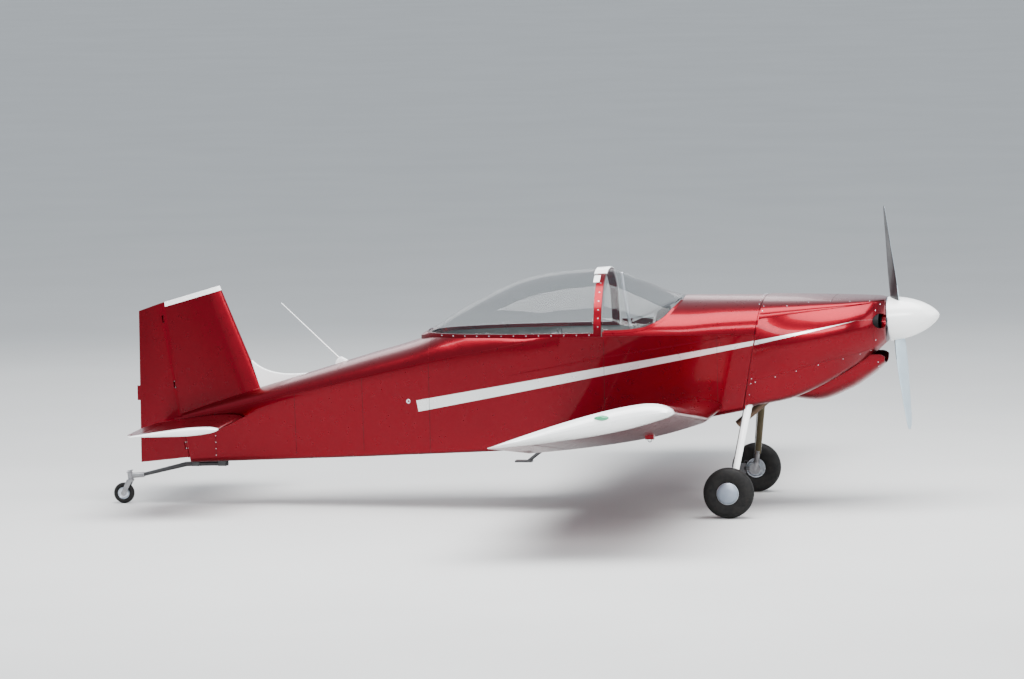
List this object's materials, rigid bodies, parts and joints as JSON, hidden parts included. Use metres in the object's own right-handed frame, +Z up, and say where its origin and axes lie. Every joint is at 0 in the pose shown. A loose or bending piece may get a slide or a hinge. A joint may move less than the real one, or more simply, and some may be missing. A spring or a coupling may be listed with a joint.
{
  "type": "two-seat low-wing light aircraft",
  "caption": "Low-wing light aircraft with a tail wheel, sliding canopy, all-moving tailplane, propeller and fixed gear, as jointed sub-components.",
  "frame": {"origin": "on the ground plane under the middle of the bounding box", "axes": "+X towards the nose, +Y towards the left wing tip, +Z up, standing on its three wheels"},
  "size_m": [5.9641, 6.35, 2.1296],
  "materials": {
    "red_paint": "deep metallic cherry red under clear coat",
    "white_paint": "gloss white",
    "black_paint": "satin black",
    "tyre_rubber": "matt tyre rubber",
    "alloy": "cast alloy",
    "steel": "dull steel",
    "cast_metal": "grey casting",
    "primer": "matt grey primer",
    "cloth": "dark woven cloth",
    "clear_glass": "clear acrylic"
  },
  "bodies": {
    "root": {"forward_deck": "red_paint", "cockpit_side_left": "red_paint", "cockpit_side_right": "red_paint", "belly_front": "red_paint", "belly_rear": "red_paint", "tail_cone": "red_paint", "nose_bowl": "red_paint", "cowl_top": "red_paint", "cowl_cheek_left": "red_paint", "cowl_cheek_right": "red_paint", "cowl_lower": "red_paint", "wing_centre": "red_paint", "fin": "red_paint", "chin_scoop": "red_paint", "wing_left": "white_paint", "wing_right": "white_paint", "fin_cap": "white_paint", "dorsal_fillet": "white_paint", "antenna": "white_paint", "gear_leg_left": "white_paint", "gear_leg_right": "white_paint", "instrument_panel": "black_paint", "control_sticks": "black_paint", "step_left": "black_paint", "step_right": "black_paint", "tail_spring": "steel", "exhaust_left": "steel", "exhaust_right": "steel", "engine_block": "cast_metal", "firewall": "primer", "seat_base": "primer", "baggage_shelf": "primer", "floor": "primer", "seat_left": "cloth", "seat_right": "cloth", "windscreen": "clear_glass"},
    "propeller_body": {"propeller": "black_paint", "spinner": "white_paint"},
    "wheel_left": {"main_wheel_left": "alloy", "main_tyre_left": "tyre_rubber"},
    "wheel_right": {"main_wheel_right": "alloy", "main_tyre_right": "tyre_rubber"},
    "tail_fork_body": {"tail_fork": "steel"},
    "tail_wheel": {"tail_hub": "alloy", "tail_tyre": "tyre_rubber"},
    "rudder_body": {"rudder": "red_paint"},
    "tailplane_body": {"tailplane": "white_paint"},
    "tabs": {"tab_left": "white_paint", "tab_right": "white_paint"},
    "aileron_left_body": {"aileron_left": "white_paint"},
    "aileron_right_body": {"aileron_right": "white_paint"},
    "flap_left_body": {"flap_left": "white_paint"},
    "flap_right_body": {"flap_right": "white_paint"},
    "canopy": {"canopy_frame": "red_paint", "canopy_glass": "clear_glass"}
  },
  "joints": [
    {"name": "propeller_spin", "type": "hinge", "parent": "root", "child": "propeller_body", "pos_m": [2.683, 0, 1.322], "axis": [0.9969, 0, 0.0785], "continuous": true},
    {"name": "wheel_left_spin", "type": "hinge", "parent": "root", "child": "wheel_left", "pos_m": [1.576, 0.795, 0.177], "axis": [0, 1, 0], "continuous": true},
    {"name": "wheel_right_spin", "type": "hinge", "parent": "root", "child": "wheel_right", "pos_m": [1.576, -0.795, 0.177], "axis": [0, 1, 0], "continuous": true},
    {"name": "tail_fork_swivel", "type": "hinge", "parent": "root", "child": "tail_fork_body", "pos_m": [-2.859, 0, 0.197], "axis": [-0.1191, 0, 0.9929], "range_deg": [-35, 35]},
    {"name": "tail_wheel_spin", "type": "hinge", "parent": "tail_fork_body", "child": "tail_wheel", "pos_m": [-2.907, 0, 0.075], "axis": [0, 1, 0], "continuous": true},
    {"name": "rudder_hinge", "type": "hinge", "parent": "root", "child": "rudder_body", "pos_m": [-2.421, 0, 0.3], "axis": [-0.1596, 0, 0.9872], "range_deg": [-25, 25]},
    {"name": "tailplane_pivot", "type": "hinge", "parent": "root", "child": "tailplane_body", "pos_m": [-2.147, 0, 0.629], "axis": [0, 1, 0], "range_deg": [-6, 12]},
    {"name": "tab_hinge", "type": "hinge", "parent": "tailplane_body", "child": "tabs", "pos_m": [-2.547, 0, 0.59598], "axis": [0, 1, 0], "range_deg": [-3, 6]},
    {"name": "aileron_left_hinge", "type": "hinge", "parent": "root", "child": "aileron_left_body", "pos_m": [0.51902, 1.222, 0.56116], "axis": [0.0126, 0.9918, 0.1271], "range_deg": [-20, 20]},
    {"name": "aileron_right_hinge", "type": "hinge", "parent": "root", "child": "aileron_right_body", "pos_m": [0.51902, -1.222, 0.56116], "axis": [-0.0126, 0.9918, -0.1271], "range_deg": [-20, 20]},
    {"name": "flap_left_hinge", "type": "hinge", "parent": "root", "child": "flap_left_body", "pos_m": [0.51874, 0.5, 0.55834], "axis": [0, -1, 0], "range_deg": [0, 35]},
    {"name": "flap_right_hinge", "type": "hinge", "parent": "root", "child": "flap_right_body", "pos_m": [0.51874, -0.5, 0.55834], "axis": [0, -1, 0], "range_deg": [0, 35]},
    {"name": "canopy_slide", "type": "slide", "parent": "root", "child": "canopy", "axis": [-0.9999, 0, -0.0151], "range_m": [0, 0.62]}
  ],
  "couplings": [
    {"joint": "aileron_right_hinge", "follows": "aileron_left_hinge", "ratio": -1},
    {"joint": "flap_right_hinge", "follows": "flap_left_hinge", "ratio": 1},
    {"joint": "tab_hinge", "follows": "tailplane_pivot", "ratio": 0.5}
  ]
}
